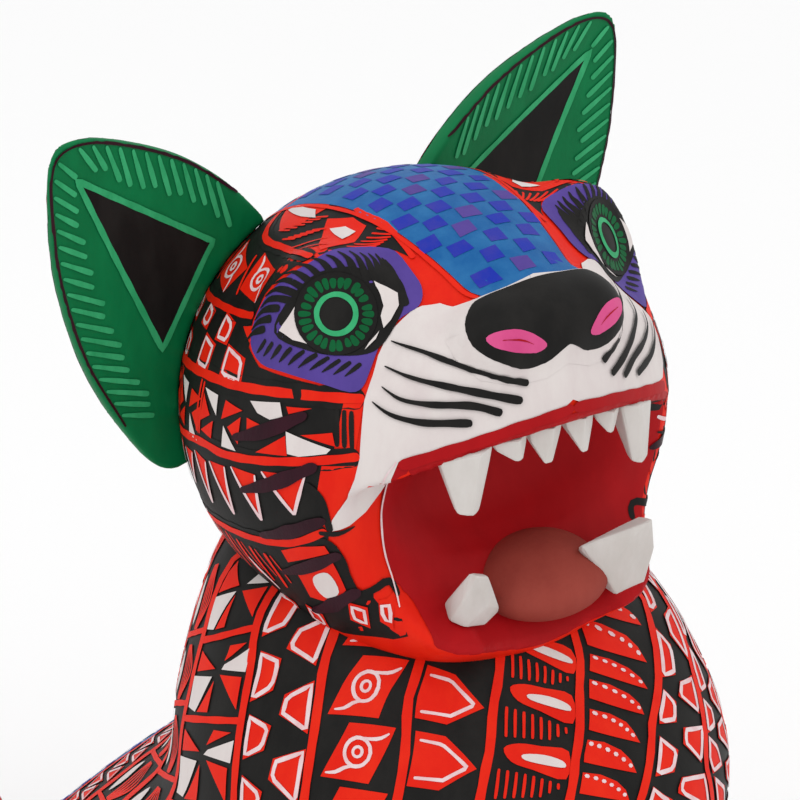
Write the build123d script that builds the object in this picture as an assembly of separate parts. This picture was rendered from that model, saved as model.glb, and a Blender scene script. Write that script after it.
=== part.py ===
"""Seated big-cat alebrije: a painted copal-wood figure put together from carved blocks, pegs and glue.

Frame: millimetres, +Z up, the face looks along -Y, the figure's left is +X. The origin is the centre of
the footprint, on the surface that the figure stands on. Shapes are first laid out with the centre of the
head straight above y = 0, and export_all() moves the finished figure so that its box is centred.
"""
from build123d import *
import os

# Driving dimensions
HEAD_Z = 215.0        # height of the centre of the head
HEAD_R = 48.8         # the cranium and cheeks are carved from a ball of this radius
MOUTH_HALF = 70.0     # the mouth is sawn right across the front of the head
INCISORS = {"inner": (4.3, 4.6), "outer": (11.8, 5.6)}   # sideways place and height of each tip
FIT_GAP = 0.3         # daylight between a removable piece and the curved wood beside it
SLIDE_GAP = 0.15      # all round an ear's tenon in its mortise
RUNNING_GAP = 0.05    # all round the tail's peg in its holes
HALF_WORLD = 400.0    # larger than the figure, for trimming at the floor

# Ears: leaves standing in a plane across the head
EAR_FRONT_Y = 27.0
EAR_BACK_RADII = (58, 11, 72)
EAR_BACK_CENTRE = (36, 20.8, 22)
EAR_PULL_DEG = 40.0   # the ear draws out along this slope, up and away from the head
TENON_LONG, TENON_THICK, TENON_DEEP = 15.0, 4.4, 16.0
TENON_Y = 29.8

# Pegs
NECK_PEG_R, NECK_PEG_LONG = 5.0, 52.0
LEG_PEG_R, LEG_PEG_LONG = 3.0, 34.0
TAIL_PEG_R, TAIL_PEG_LONG = 4.0, 32.0

# Torso: one ellipse per row, as height, centre y, half width, half depth, forward lean in degrees
TORSO_SECTIONS = [
    (0, 74, 48, 64, 0),
    (20, 70.5, 55, 78.5, 0),
    (42, 62.5, 57, 86.5, 0),
    (64, 47, 58, 87, 0),
    (84, 30, 58.5, 82, 0),
    (104, 13.5, 58.5, 75.5, 0),
    (122, 0.5, 58.5, 66.5, 0),
    (138, -8.5, 57.5, 57.5, 0),
    (153, -8.5, 55, 55, 4),
    (168, -6.5, 49.5, 49.5, 9),
    (177, -3.5, 43.5, 43.5, 12),
    (183, -3, 37.5, 38, 13),
]

# Tail: path in the plane x = 0, as y, z, radius
TAIL_SEAT = (142.0, 20.5)
TAIL_SLOPE_DEG = 12.0
TAIL_SEAT_R = 14.0
TAIL_SECTIONS = [
    (0, 0, 11.5),
    (14, 3, 11.4),
    (28, 6.5, 11.2),
    (43, 13, 11),
    (55, 27, 10.8),
    (60, 46, 10.4),
    (58, 65, 10),
    (55.5, 83, 9.6),
    (55, 101, 9.2),
    (58, 117, 8.7),
    (62, 130, 8),
    (64.5, 137, 6.6),
    (66, 141, 4.4),
    (67, 143, 2),
]


def ellipsoid(centre, radii):
    """A closed ellipsoid with its half axes along X, Y and Z."""
    return Pos(*centre) * scale(Sphere(1), by=radii)


def in_head(x, y, z):
    """A point given from the centre of the head."""
    return (x, y, HEAD_Z + z)


def above_floor(shape):
    """The part of a shape that is above the floor, flat where the floor cuts it."""
    return shape & (Pos(0, 0, HALF_WORLD / 2) * Box(HALF_WORLD * 2, HALF_WORLD * 2, HALF_WORLD))


def peg(start, direction, radius, length):
    """A round peg from a point along a direction."""
    plane = Plane(origin=start, z_dir=direction)
    return plane * Cylinder(radius, length, align=(Align.CENTER, Align.CENTER, Align.MIN))


def pointed_tooth(length, root_radius, tip_radius):
    """A blunt cone of a tooth, tip down at the origin and root up along Z."""
    shank = Pos(0, 0, tip_radius) * Cone(tip_radius, root_radius, length - tip_radius,
                                         align=(Align.CENTER, Align.CENTER, Align.MIN))
    return shank + Pos(0, 0, tip_radius) * Sphere(tip_radius)


# ---------------------------------------------------------------- head
def head_block():
    """The head as carved outside: ball, muzzle, nose and its bridge, jaw, and the swell of each eye."""
    block = Pos(*in_head(0, 0, 0)) * Sphere(HEAD_R)
    block += ellipsoid(in_head(0, -14, -25), (37, 31.5, 23.5))
    block += ellipsoid(in_head(0, -22, 17), (27, 25.3, 17))
    block += ellipsoid(in_head(0, -14, 28), (17, 31, 14.5))
    block += ellipsoid(in_head(0, -33.5, 29.3), (18.5, 13.5, 9))
    for side in (-1, 1):
        block += ellipsoid(in_head(side * 27, -11, 28), (13.5, 13, 14.5))
        block += ellipsoid(in_head(side * 17, -32, -31), (12, 14.5, 9))
    return block


def mouth_cut():
    """The open mouth: a wedge sawn across the front, a trough along the jaw, and a hollow in the back wall."""
    roof, wall_top, wall_foot, lip = (-62, 11), (-28, 9), (-28, -19), (-62, -38)
    profile = Wire([Line(roof, wall_top), Line(wall_top, wall_foot), Line(wall_foot, lip), Line(lip, roof)])
    wedge = extrude(Plane.YZ * make_face(profile), MOUTH_HALF, both=True)
    trough = ellipsoid((0, -42, -14), (28, 21, 26))
    hollow = ellipsoid((0, -31, -5), (27, 13, 15))
    return Pos(0, 0, HEAD_Z) * (wedge + trough + hollow)


def upper_canine(side):
    tooth = pointed_tooth(21, 5.8, 2.2)
    return Pos(*in_head(side * 21, -41.5, -5)) * Rot(-6, side * 2, 0) * tooth


def upper_incisor(side, place):
    """One of the four small pointed teeth between the upper canines."""
    x, tip_z = INCISORS[place]
    return Pos(*in_head(side * x, -42.6, tip_z)) * Rot(-6, 0, 0) * pointed_tooth(13.5, 3.9, 1.2)


def lower_canine(side):
    tooth = Rot(180, 0, 0) * pointed_tooth(25, 7.2, 2)
    return Pos(*in_head(side * 19.8, -46.6, -14.8)) * Rot(27, side * 8, 0) * tooth


def tongue():
    return ellipsoid(in_head(0, -32, -27.5), (11.5, 11, 11.5))


def neck_peg():
    return peg((0, 6, 146), (0, 0.17, 1), NECK_PEG_R, NECK_PEG_LONG)


# ---------------------------------------------------------------- ears
def pull_direction(side):
    """The way that an ear draws out of its mortise."""
    return Vector(side, 0, 0).rotate(Axis.Y, -side * EAR_PULL_DEG)


def ear_tenon(side, gap=0.0):
    """The flat tongue of wood on an ear's root, or with a gap the mortise that takes it."""
    out = pull_direction(side)
    start = Vector(0, TENON_Y, HEAD_Z) + out * (HEAD_R * 0.76 - TENON_DEEP - gap)
    plane = Plane(origin=start, x_dir=(0, 1, 0), z_dir=out)
    section = plane * Rot(0, 0, 90) * SlotOverall(TENON_LONG + 2 * gap, TENON_THICK + 2 * gap)
    return extrude(section, TENON_DEEP + 12)


def ear(side):
    """A leaf-shaped ear with a flat front, a rounded back and a tenon, hollowed to sit on the head."""
    outline = Wire([
        Spline((18, 33), (31, 46.5), (47, 56), (61.5, 60.5)),
        ThreePointArc((61.5, 60.5), (66.8, 59.2), (69, 54)),
        Spline((69, 54), (69.8, 38), (64, 15), (43, -14)),
        Line((43, -14), (18, 0)),
        Line((18, 0), (18, 33)),
    ])
    leaf = extrude(Plane.XZ * make_face(outline), -40)
    leaf &= ellipsoid(EAR_BACK_CENTRE, EAR_BACK_RADII)
    leaf -= Pos(0, EAR_FRONT_Y - HALF_WORLD / 2, 0) * Box(HALF_WORLD, HALF_WORLD, HALF_WORLD)
    leaf -= Sphere(HEAD_R + FIT_GAP)
    if side < 0:
        leaf = mirror(leaf, Plane.YZ)
    return Pos(0, 0, HEAD_Z) * leaf + ear_tenon(side)


# ---------------------------------------------------------------- body
def ring(x, y, z, half_width, half_depth, lean=0):
    """An ellipse across the body, leaning down at the front, with its seam at the front."""
    return Pos(x, y, z) * Rot(lean, 0, 0) * Rot(0, 0, -90) * Ellipse(half_depth, half_width)


def torso_block():
    """Chest, belly, back and seat in one block, lofted through its ellipses."""
    return loft([ring(0, y, z, half_width, half_depth, lean)
                 for z, y, half_width, half_depth, lean in TORSO_SECTIONS])


def foreleg(side):
    """A straight foreleg with its paw, let into the chest at the top."""
    rows = [(0, -42, 13, 14), (14, -41, 12, 13), (50, -40, 13, 13.5), (84, -39, 16, 16.5),
            (110, -36, 16, 16.5), (136, -27, 11, 11)]
    leg = loft([ring(side * 27, y, z, rx, ry) for z, y, rx, ry in rows])
    paw = above_floor(ellipsoid((side * 28, -50, 8), (15, 23, 12)))
    return leg + paw


def hind_leg(side):
    """A folded hind leg: the big thigh against the body, and the foot that lies along the floor."""
    thigh = above_floor(ellipsoid((side * 48, 74, 43), (22, 45, 43.5)))
    foot = above_floor(ellipsoid((side * 51, 22, 8), (15, 37, 12.5)))
    return thigh + foot


def foreleg_peg(side):
    return peg((side * 26, -50, 88), (-side * 0.25, 1, 0), LEG_PEG_R, LEG_PEG_LONG)


def hind_leg_peg(side):
    return peg((side * 64, 72, 46), (-side, 0, 0), LEG_PEG_R, LEG_PEG_LONG)


# ---------------------------------------------------------------- tail
def tail_axis():
    """The way that the tail's peg draws out of the rump."""
    return Vector(0, 1, 0).rotate(Axis.X, TAIL_SLOPE_DEG)


def tail_seat():
    return Vector(0, *TAIL_SEAT)


def tail():
    """An S-shaped tail, lofted through circles square to its path and closing in at the end."""
    out = tail_axis()
    root = tail_seat() + out * FIT_GAP
    points = [root + Vector(0, y, z) for y, z, _ in TAIL_SECTIONS]
    radii = [radius for _, _, radius in TAIL_SECTIONS]
    rings = []
    for i, (point, radius) in enumerate(zip(points, radii)):
        along = out if i == 0 else points[min(i + 1, len(points) - 1)] - points[i - 1]
        rings.append(Plane(origin=point, x_dir=(1, 0, 0), z_dir=along) * Circle(radius))
    return loft(rings)


def tail_peg(gap=0.0):
    out = tail_axis()
    start = tail_seat() - out * (TAIL_PEG_LONG / 2 + gap)
    return peg(start, out, TAIL_PEG_R + gap, TAIL_PEG_LONG + 2 * gap)


# ---------------------------------------------------------------- assembly
def build_parts():
    """Every piece, cut so that it meets its neighbours face to face. Returns {node name: shape}."""
    sides = {"left": 1, "right": -1}
    uppers = {name: upper_canine(side) for name, side in sides.items()}
    lowers = {name: lower_canine(side) for name, side in sides.items()}
    the_tongue, the_neck_peg = tongue(), neck_peg()
    solid_head = head_block()

    torso = torso_block() - solid_head - the_neck_peg
    seat_bore = peg(tail_seat(), tail_axis(), TAIL_SEAT_R, 30)
    torso = torso - seat_bore - tail_peg(RUNNING_GAP)

    parts = {"neck_peg": the_neck_peg}
    for name, side in sides.items():
        leg, leg_pin = foreleg(side) - torso, foreleg_peg(side)
        hip, hip_pin = hind_leg(side) - torso, hind_leg_peg(side)
        parts[f"foreleg_{name}"] = leg - leg_pin
        parts[f"foreleg_peg_{name}"] = leg_pin
        parts[f"hind_leg_{name}"] = hip - hip_pin
        parts[f"hind_leg_peg_{name}"] = hip_pin
        torso = torso - leg_pin - hip_pin
    parts["torso"] = torso

    head = solid_head - mouth_cut() - the_neck_peg
    for name, side in sides.items():
        head = head - uppers[name] - lowers[name] - ear_tenon(side, SLIDE_GAP)
        for place in INCISORS:
            incisor = upper_incisor(side, place)
            head = head - incisor
            parts[f"upper_incisor_{place}_{name}"] = incisor
        parts[f"ear_{name}"] = ear(side)
        parts[f"upper_canine_{name}"] = uppers[name]
        parts[f"lower_canine_{name}"] = lowers[name]
    parts["head"] = head - the_tongue
    parts["tongue"] = the_tongue
    parts["tail"] = tail() - tail_peg(RUNNING_GAP)
    parts["tail_peg"] = tail_peg()
    return parts


def footprint_shift(parts):
    """How far back the figure has to move so that its box is centred on the origin."""
    boxes = [shape.bounding_box() for shape in parts.values()]
    return -(min(box.min.Y for box in boxes) + max(box.max.Y for box in boxes)) / 2


def export_all():
    os.makedirs("parts", exist_ok=True)
    parts = build_parts()
    shift = footprint_shift(parts)
    print("shift along Y:", round(shift, 4))
    for name, shape in parts.items():
        export_step(Pos(0, shift, 0) * shape, f"parts/{name}.step")


export_all()
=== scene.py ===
"""Painted wooden big cat: sculpted wood, brush-painted bands and a pale studio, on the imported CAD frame.

Lengths are in millimetres until they reach Blender. Points on the head are given from its centre, and
points on the body from the floor straight below that centre.
"""
import math

import bmesh
import bpy
import numpy as np
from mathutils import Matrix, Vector
from mathutils.bvhtree import BVHTree
from mathutils.geometry import delaunay_2d_cdt


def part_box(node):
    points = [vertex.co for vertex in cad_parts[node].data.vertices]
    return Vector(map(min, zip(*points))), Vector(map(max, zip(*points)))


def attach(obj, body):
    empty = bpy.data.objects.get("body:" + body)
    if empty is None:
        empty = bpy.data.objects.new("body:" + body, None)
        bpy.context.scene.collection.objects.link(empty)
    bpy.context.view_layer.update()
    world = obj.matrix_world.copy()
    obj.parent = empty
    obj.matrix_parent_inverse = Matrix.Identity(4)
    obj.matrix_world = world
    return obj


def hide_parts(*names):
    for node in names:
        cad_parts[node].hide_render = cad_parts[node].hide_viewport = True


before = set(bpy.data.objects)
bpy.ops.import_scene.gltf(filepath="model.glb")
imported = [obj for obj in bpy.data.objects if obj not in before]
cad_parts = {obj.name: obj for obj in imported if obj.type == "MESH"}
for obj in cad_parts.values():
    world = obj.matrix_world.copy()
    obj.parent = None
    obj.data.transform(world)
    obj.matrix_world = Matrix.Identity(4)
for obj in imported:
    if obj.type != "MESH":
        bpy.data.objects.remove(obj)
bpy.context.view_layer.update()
MM = 0.001
RNG = np.random.default_rng(11)
SIDES = ((1, "left"), (-1, "right"))

head_low, head_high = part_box("head")
HEAD_R = (head_high.x - head_low.x) / 2 / MM
HEAD_Z = head_high.z / MM - HEAD_R
BODY_Y = head_high.y / MM - HEAD_R
ORIGIN = np.array((0.0, BODY_Y, 0.0))
HEAD = ORIGIN + np.array((0.0, 0.0, HEAD_Z))


# ------------------------------------------------------------------ distances
def ellipsoid(p, centre, radii):
    """Distance to an ellipsoid, near enough close to its skin."""
    q = (p - np.array(centre)) / np.array(radii)
    near = np.linalg.norm(q, axis=-1)
    slope = np.linalg.norm(q / np.array(radii), axis=-1)
    return near * (near - 1) / np.maximum(slope, 1e-6)


def join(a, b, soft):
    """The union of two shapes with a fillet."""
    h = np.clip(0.5 + 0.5 * (b - a) / soft, 0, 1)
    return b + (a - b) * h - soft * h * (1 - h)


def carve(a, b, soft):
    """Shape a with shape b cut away, and the cut's edge rounded."""
    return -join(-a, b, soft)


def smooth_line(points, steps=8, closed=False):
    """A Catmull-Rom line through points."""
    pts = np.array(points, float)
    if closed:
        pts = np.vstack([pts[-1:], pts, pts[:2]])
    else:
        pts = np.vstack([2 * pts[0] - pts[1], pts, 2 * pts[-1] - pts[-2]])
    out = []
    t = (np.arange(steps) / steps)[:, None]
    for a, b, c, d in zip(pts[:-3], pts[1:-2], pts[2:-1], pts[3:]):
        out.append(0.5 * (2 * b + (c - a) * t + (2 * a - 5 * b + 4 * c - d) * t ** 2
                          + (3 * b - a - 3 * c + d) * t ** 3))
    if not closed:
        out.append(pts[-2][None])
    return np.vstack(out)


def run_along(line):
    """The distance travelled along a line at each of its points."""
    return np.concatenate([[0], np.cumsum(np.linalg.norm(np.diff(line, axis=0), axis=1))])


def read_table(row, table):
    """Every column of a table, read between its rows."""
    return [np.interp(row, np.arange(len(table)), column) for column in table.T]


def oval(wide, tall, count, centre=(0, 0)):
    """Points round an oval with the half sizes given."""
    turn = np.arange(count) * 2 * math.pi / count
    return np.stack([wide * np.cos(turn), tall * np.sin(turn)], axis=-1) + centre


def direction(azimuth, elevation):
    """A unit vector by azimuth, from the face round to its left, and elevation, both in degrees."""
    a, e = math.radians(azimuth), math.radians(elevation)
    return np.array((math.sin(a) * math.cos(e), -math.cos(a) * math.cos(e), math.sin(e)))


def polygon_distance(x, y, corners):
    """Signed distance to a closed outline, negative inside."""
    best = np.full(x.shape, 1e9)
    inside = np.zeros(x.shape, bool)
    for (ax, ay), (bx, by) in zip(corners, np.roll(corners, -1, axis=0)):
        ex, ey = bx - ax, by - ay
        t = np.clip(((x - ax) * ex + (y - ay) * ey) / (ex * ex + ey * ey + 1e-12), 0, 1)
        best = np.minimum(best, (x - ax - t * ex) ** 2 + (y - ay - t * ey) ** 2)
        if ey:
            crosses = (ay > y) != (by > y)
            inside ^= crosses & (x < ax + ex * (y - ay) / ey)
    return np.where(inside, -1, 1) * np.sqrt(best)


def surface_net(distance, low, high, step):
    """Vertices and quads round the zero level of a distance function."""
    axes = [np.arange(a, b + step, step) for a, b in zip(low, high)]
    grid = np.stack(np.meshgrid(*axes, indexing="ij"), axis=-1)
    values = distance(grid)
    cells = np.array(values.shape) - 1
    total, count = np.zeros((*cells, 3)), np.zeros(cells)
    quads = []
    for axis in range(3):
        first = np.take(values, range(cells[axis]), axis=axis)
        second = np.take(values, range(1, cells[axis] + 1), axis=axis)
        edge = np.argwhere((first < 0) != (second < 0))
        a, b = first[tuple(edge.T)], second[tuple(edge.T)]
        place = edge.astype(float)
        place[:, axis] += a / (a - b)
        side_1, side_2 = np.eye(3, dtype=int)[(axis + 1) % 3], np.eye(3, dtype=int)[(axis + 2) % 3]
        ring = [edge, edge - side_1, edge - side_1 - side_2, edge - side_2]
        for cell in ring:
            np.add.at(total, tuple(cell.T), place)
            np.add.at(count, tuple(cell.T), 1)
        ring = np.stack([np.ravel_multi_index(tuple(cell.T), cells) for cell in ring], axis=1)
        quads.append(np.where((a < 0)[:, None], ring, ring[:, ::-1]))
    used = count.ravel() > 0
    number = np.cumsum(used) - 1
    verts = total.reshape(-1, 3)[used] / count.ravel()[used][:, None] * step + np.array(low)
    return verts, number[np.vstack(quads)]


# ------------------------------------------------------------------ paints
SPECULAR = 0.12
BRUSH_STRETCH = (1.0, 1.0, 0.35)     # streaks run three times as long as they are wide, upwards
COVER_EDGES = (0.38, 0.72)           # where the cover starts to thin, and where it is thinnest
RELIEF_M = 0.0002
SMOOTHER, ROUGHER = 0.07, 0.09       # how far the gloss strays to either side


def srgb(r, g, b):
    """A linear colour from the eight-bit numbers a colour picker shows."""
    return [((v / 255 + 0.055) / 1.055) ** 2.4 if v > 10 else v / 255 / 12.92 for v in (r, g, b)] + [1.0]


def add_node(tree, kind, **inputs):
    """A shader node with some of its inputs set."""
    node = tree.nodes.new(kind)
    for name, value in inputs.items():
        node.inputs[name.replace("_", " ")].default_value = value
    return node


def brushed(name, colour, worn, roughness, streak, bump=0.12, scale=160):
    """Hand-brushed acrylic on wood: uneven cover, fine streaks along the brush, and a satin skin."""
    mat = bpy.data.materials.new(name)
    mat.use_nodes = True
    tree = mat.node_tree
    link = tree.links.new
    shader = tree.nodes["Principled BSDF"]
    shader.inputs["Specular IOR Level"].default_value = SPECULAR
    coords = add_node(tree, "ShaderNodeTexCoord")
    stretch = add_node(tree, "ShaderNodeMapping", Scale=BRUSH_STRETCH)
    link(coords.outputs["Object"], stretch.inputs["Vector"])
    cover = add_node(tree, "ShaderNodeTexNoise", Scale=scale, Detail=6, Roughness=0.62)
    link(stretch.outputs["Vector"], cover.inputs["Vector"])
    ramp = add_node(tree, "ShaderNodeValToRGB")
    full, thin = srgb(*colour), srgb(*worn)
    shades = (full, [a + (b - a) * streak for a, b in zip(full, thin)])
    for stop, edge, shade in zip(ramp.color_ramp.elements, COVER_EDGES, shades):
        stop.position = edge
        stop.color = shade
    link(cover.outputs["Fac"], ramp.inputs["Fac"])
    link(ramp.outputs["Color"], shader.inputs["Base Color"])
    grain = add_node(tree, "ShaderNodeTexNoise", Scale=scale * 9, Detail=4)
    link(stretch.outputs["Vector"], grain.inputs["Vector"])
    relief = add_node(tree, "ShaderNodeBump", Strength=bump, Distance=RELIEF_M)
    link(grain.outputs["Fac"], relief.inputs["Height"])
    link(relief.outputs["Normal"], shader.inputs["Normal"])
    gloss = add_node(tree, "ShaderNodeMapRange", To_Min=roughness - SMOOTHER, To_Max=roughness + ROUGHER)
    link(cover.outputs["Fac"], gloss.inputs["Value"])
    link(gloss.outputs["Result"], shader.inputs["Roughness"])
    return mat


# Each paint and the name of a slot of the CAD record
PAINT = {
    "black": (brushed("black_paint", (20, 19, 18), (40, 38, 36), 0.55, 0.5), "paint_black"),
    "red": (brushed("red_paint", (216, 26, 6), (228, 44, 16), 0.55, 0.7), "paint_red"),
    "white": (brushed("white_paint", (214, 206, 203), (200, 186, 186), 0.6, 0.6), "paint_white"),
    "stroke": (brushed("white_strokes", (224, 206, 208), (214, 160, 164), 0.6, 0.7, scale=420),
               "paint_white"),
    "crimson": (brushed("crimson_paint", (166, 8, 16), (146, 5, 12), 0.55, 0.6), "paint_crimson"),
    "blue": (brushed("blue_paint", (18, 88, 148), (48, 116, 168), 0.5, 0.7), "paint_blue"),
    "indigo": (brushed("indigo_paint", (22, 44, 160), (60, 56, 150), 0.5, 0.9), "paint_indigo"),
    "purple": (brushed("purple_paint", (82, 62, 142), (66, 50, 122), 0.52, 0.6), "paint_purple"),
    "green": (brushed("green_paint", (6, 106, 60), (8, 122, 70), 0.5, 0.7), "paint_green"),
    "iris": (brushed("iris_paint", (0, 82, 42), (0, 98, 52), 0.5, 0.7), "paint_green"),
    "light_green": (brushed("light_green_paint", (56, 166, 110), (30, 138, 84), 0.5, 0.8, scale=300),
                    "paint_green_light"),
    "pink": (brushed("pink_paint", (208, 80, 134), (188, 58, 114), 0.5, 0.6), "paint_pink"),
    "maroon": (brushed("maroon_paint", (48, 12, 26), (32, 8, 18), 0.4, 0.8, bump=0.3), "paint_maroon"),
    "tongue": (brushed("tongue_paint", (148, 64, 54), (134, 54, 46), 0.72, 0.7, bump=0.35),
               "paint_tongue"),
    "tooth": (brushed("tooth_paint", (205, 200, 196), (188, 182, 176), 0.66, 0.7, bump=0.3),
              "paint_white"),
}
COPAL = brushed("bare_copal", (206, 172, 124), (176, 136, 90), 0.7, 0.9, bump=0.3, scale=90)


# ------------------------------------------------------------------ pieces
def add_piece(mesh, paint, body, replaces=()):
    """An object in one paint that rides on a body, in place of the CAD nodes it replaces."""
    material, slot = PAINT[paint]
    mesh.materials.append(material)
    obj = bpy.data.objects.new(mesh.name, mesh)
    bpy.context.scene.collection.objects.link(obj)
    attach(obj, body)
    if replaces:
        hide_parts(*replaces)


def add_mesh(name, verts, faces, paint, body, replaces=(), offset=ORIGIN):
    """A smooth-shaded piece from vertices in millimetres."""
    mesh = bpy.data.meshes.new(name)
    points = [tuple(v) for v in (np.asarray(verts) + offset) * MM]
    mesh.from_pydata(points, [], [tuple(map(int, f)) for f in faces])
    mesh.polygons.foreach_set("use_smooth", [True] * len(mesh.polygons))
    add_piece(mesh, paint, body, replaces)


def sculpt(name, node, distance, low, high, step, paint, body="figure", offset=ORIGIN):
    """A carved piece in place of a CAD node. Returns its mesh, and a tree that tells where rays meet it."""
    verts, faces = surface_net(distance, low, high, step)
    add_mesh(name, verts, faces, paint, body, [node], offset)
    return verts, faces, BVHTree.FromPolygons(
        [tuple(v) for v in verts], [tuple(map(int, f)) for f in faces])


def tube_faces(rings, around):
    """Quads between rings of vertices, outward when the rings climb anticlockwise."""
    i, j = np.meshgrid(np.arange(rings - 1), np.arange(around), indexing="ij")
    a, b = i * around + j, i * around + (j + 1) % around
    return np.stack([a, b, b + around, a + around], axis=-1).reshape(-1, 4)


def loft(name, node, body, point, line, around, clockwise=False):
    """A closed black piece in place of a CAD node, through rings that point() gives by angle and row."""
    rows = np.arange(len(line) - 1, step=0.5)
    verts, _ = point((np.arange(around) * 360 / around)[None, :], rows[:, None])
    verts = verts.reshape(-1, 3)
    faces = [tuple(f) for f in tube_faces(len(rows), around)]
    faces += [tuple(range(around))[::-1], tuple(range(len(verts) - around, len(verts)))]
    if clockwise:
        faces = [f[::-1] for f in faces]
    add_mesh(name, verts, faces, "black", body, [node])


# ------------------------------------------------------------------ head
EYE = np.array((31.2, -16.6, 31.7))
EYE_NORMAL = np.array((0.54, -0.71, 0.45)) / np.linalg.norm((0.54, -0.71, 0.45))
HEAD_RISE = 46.6      # half the height of the head's ball, which is HEAD_R to the other sides
SOCKET_R = 29.0       # the carver's shallow dish round each eye
EYEBALL_R, EYEBALL_DEPTH = 13.2, 12.0
WALL_Y = -28.0        # the back wall of the mouth

# Masses joined to the ball: centre, half sizes and fillet. x counts outwards, so two of them are pairs
HEAD_MASSES = (
    ((0, -14, -25), (37, 31.5, 23.5), 6),      # jaw
    ((17, -32, -29), (12, 14.5, 7.5), 5),      # sides of the lower lip
    ((0, -22, 17), (27, 25.3, 17), 5),         # muzzle
    ((0, -14, 28), (17, 31, 14.5), 5),         # bridge of the nose
    ((29, -9, 27), (13.5, 14, 15.5), 5),       # swell round the eyes
)


def mouth(p):
    """The mouth, sawn right across: an arched roof, an upright wall, a trough for a floor, and a hollow."""
    x, y, z = p[..., 0], p[..., 1], p[..., 2]
    ahead = np.maximum(WALL_Y - y, 0)
    roof = z - (12.3 - 0.0077 * x ** 2)
    wall = y - WALL_Y
    floor = (-20.5 - 1.45 * ahead + 0.0022 * np.minimum(x ** 2, 300) * ahead - z) * 0.6
    opening = carve(carve(roof, -wall, 4), -floor, 5)
    hollow = ellipsoid(p, (0, -31, -5), (28, 13, 15))
    return join(opening, hollow, 5)


def head_distance(p):
    """The carved head, from its centre."""
    q = np.concatenate([np.abs(p[..., :1]), p[..., 1:]], axis=-1)
    d = ellipsoid(q, (0, 0, 0), (HEAD_R, HEAD_R, HEAD_RISE))
    for centre, radii, soft in HEAD_MASSES:
        d = join(d, ellipsoid(q, centre, radii), soft)
    dish = np.linalg.norm(q - (EYE + EYE_NORMAL * SOCKET_R), axis=-1) - SOCKET_R
    d = carve(d, dish, 1.6)
    eyeball = np.linalg.norm(q - (EYE - EYE_NORMAL * EYEBALL_DEPTH), axis=-1) - EYEBALL_R
    d = join(d, eyeball, 1.2)
    nose = join(ellipsoid(q, (0, -33.5, 29.3), (18.5, 13, 9)),
                ellipsoid(q, (9.5, -36, 28.2), (9, 9.3, 8.4)), 2)
    d = join(d, nose, 1.4)
    return carve(d, mouth(p), 1.6)


HEAD_STEP = 1.0
*HEAD_MESH, HEAD_TREE = sculpt("carved_head", "head", head_distance, (-60, -60, -56), (60, 54, 58),
                               HEAD_STEP, "red", offset=HEAD)

# ------------------------------------------------------------------ torso
# One ellipse per row: height, centre y, half width, half depth, forward lean in degrees
TORSO_ROWS = [(0, 74, 48, 64, 0), (20, 70.5, 55, 78.5, 0), (42, 62.5, 57, 86.5, 0), (64, 47, 58, 87, 0),
              (84, 30, 58.5, 82, 0), (104, 13.5, 58.5, 75.5, 0), (122, 0.5, 58.5, 66.5, 0),
              (138, -8.5, 57.5, 57.5, 0), (153, -8.5, 55, 55, 4), (168, -6.5, 49.5, 49.5, 9),
              (177, -3.5, 43.5, 43.5, 12), (183, -3, 37.5, 38, 13), (196, -2, 20, 20, 13), ]
TORSO_LINE = smooth_line(TORSO_ROWS, 12)


def torso_point(angle, row):
    """A point on the body and its outward normal. angle is from the chest, in degrees, positive to its
    left, and row counts along TORSO_LINE."""
    angle, row = np.broadcast_arrays(np.radians(angle), row)

    def at(a, r):
        z, y, wide, deep, lean = read_table(r, TORSO_LINE)
        lean = np.radians(lean)
        fore = -np.cos(a) * deep
        return np.stack([np.sin(a) * wide, y + fore * np.cos(lean), z + fore * np.sin(lean)], axis=-1)

    here = at(angle, row)
    normal = np.cross(at(angle + 0.01, row) - at(angle - 0.01, row),
                      at(angle, row + 0.3) - at(angle, row - 0.3))
    return here, normal / np.maximum(np.linalg.norm(normal, axis=-1, keepdims=True), 1e-9)


loft("carved_torso", "torso", "figure", torso_point, TORSO_LINE, 216)


# ------------------------------------------------------------------ limbs
TOE_SPREAD, TOE_TOP, TOE_LENGTH = 7, 17, 12
LEG_STEP = 1.3


def toes(d, p, x, tip_y):
    """Grooves between the toes at the front of a paw."""
    for place in (-TOE_SPREAD, 0, TOE_SPREAD):
        behind = np.maximum(p[..., 1] - tip_y - TOE_LENGTH, 0)
        groove = np.hypot(p[..., 0] - x - place, behind * 0.8) - 0.9
        d = carve(d, np.maximum(groove, p[..., 2] - TOE_TOP), 0.8)
    return d


def foreleg(side):
    def distance(p):
        x = side * 27
        d = ellipsoid(p, (x, -37, 96), (16.3, 17, 42))
        d = join(d, ellipsoid(p, (x, -41, 44), (13.4, 14, 64)), 6)
        d = join(d, ellipsoid(p, (side * 28, -50, 8), (15, 23, 12)), 4)
        d = toes(d, p, side * 28, -72)
        return carve(d, p[..., 2] - 0.02, 0.6)
    return distance


def hind_leg(side):
    def distance(p):
        d = ellipsoid(p, (side * 47, 74, 43), (23, 45, 43.5))
        d = join(d, ellipsoid(p, (side * 51, 22, 8), (15, 37, 12.5)), 5)
        d = toes(d, p, side * 51, -14)
        return carve(d, p[..., 2] - 0.02, 0.6)
    return distance


LEG_TREES = {}
for side, name in SIDES:
    for kind, shape, (inner, outer), (front, back), top in (
            ("foreleg", foreleg, (8, 48), (-78, -16), 142),
            ("hind_leg", hind_leg, (20, 74), (-20, 124), 92)):
        low, high = sorted((side * inner, side * outer))
        *_, LEG_TREES[kind, side] = sculpt(f"carved_{kind}_{name}", f"{kind}_{name}", shape(side),
                                           (low, front, -3), (high, back, top), LEG_STEP, "black")

# ------------------------------------------------------------------ tail
TAIL_SEAT = np.array((0, 142.0, 20.5))
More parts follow.
